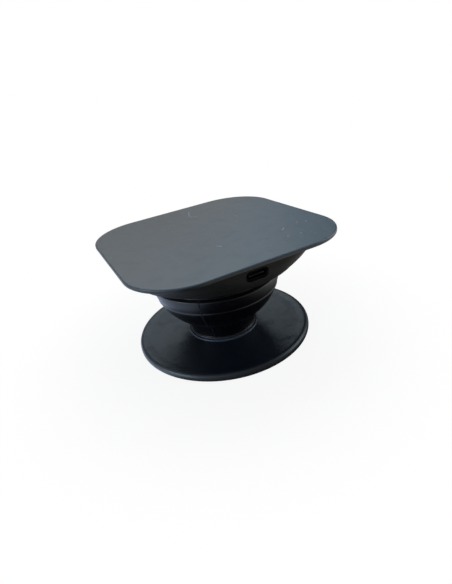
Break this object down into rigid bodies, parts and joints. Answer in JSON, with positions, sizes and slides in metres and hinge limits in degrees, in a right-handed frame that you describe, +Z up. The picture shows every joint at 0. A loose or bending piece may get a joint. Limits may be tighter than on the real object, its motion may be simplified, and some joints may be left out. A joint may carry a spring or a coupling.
{
  "type": "collapsible phone charging stand",
  "caption": "Collapsible phone charging stand: a rounded-square charging pad with a socket in its side, on a soft folding bellows and a round foot disc; it pushes down into a flat stack.",
  "frame": {"origin": "centre of the foot disc's underside, on the axis of the bellows", "axes": "+Z up from the foot disc to the charging pad along the bellows' axis, -Y towards the charging socket"},
  "size_m": [0.09, 0.09, 0.0497],
  "materials": {
    "disc_plastic": "satin moulded plastic",
    "bellows_rubber": "smooth semi-gloss elastomer",
    "plug_plastic": "plain moulded plastic",
    "housing_plastic": "matte moulded plastic",
    "board_laminate": "solder-masked glass laminate",
    "socket_metal": "dark plated drawn steel",
    "tongue_plastic": "moulded insulator",
    "ferrite": "dull sintered sheet",
    "coil_copper": "enamelled copper winding",
    "cover_plastic": "soft matte, dusty"
  },
  "bodies": {
    "foot": {"foot_disc": "disc_plastic", "bellows": "bellows_rubber", "foot_plug": "plug_plastic"},
    "pad": {"pad_housing": "housing_plastic", "closing_plate": "plug_plastic", "circuit_board": "board_laminate", "socket_shell": "socket_metal", "socket_tongue": "tongue_plastic", "ferrite_sheet": "ferrite", "charging_coil": "coil_copper", "pad_cover": "cover_plastic"}
  },
  "joints": [
    {"name": "collapse", "type": "slide", "parent": "foot", "child": "pad", "axis": [0, 0, 1], "range_m": [-0.0327, 0], "deforming": ["bellows"]}
  ]
}
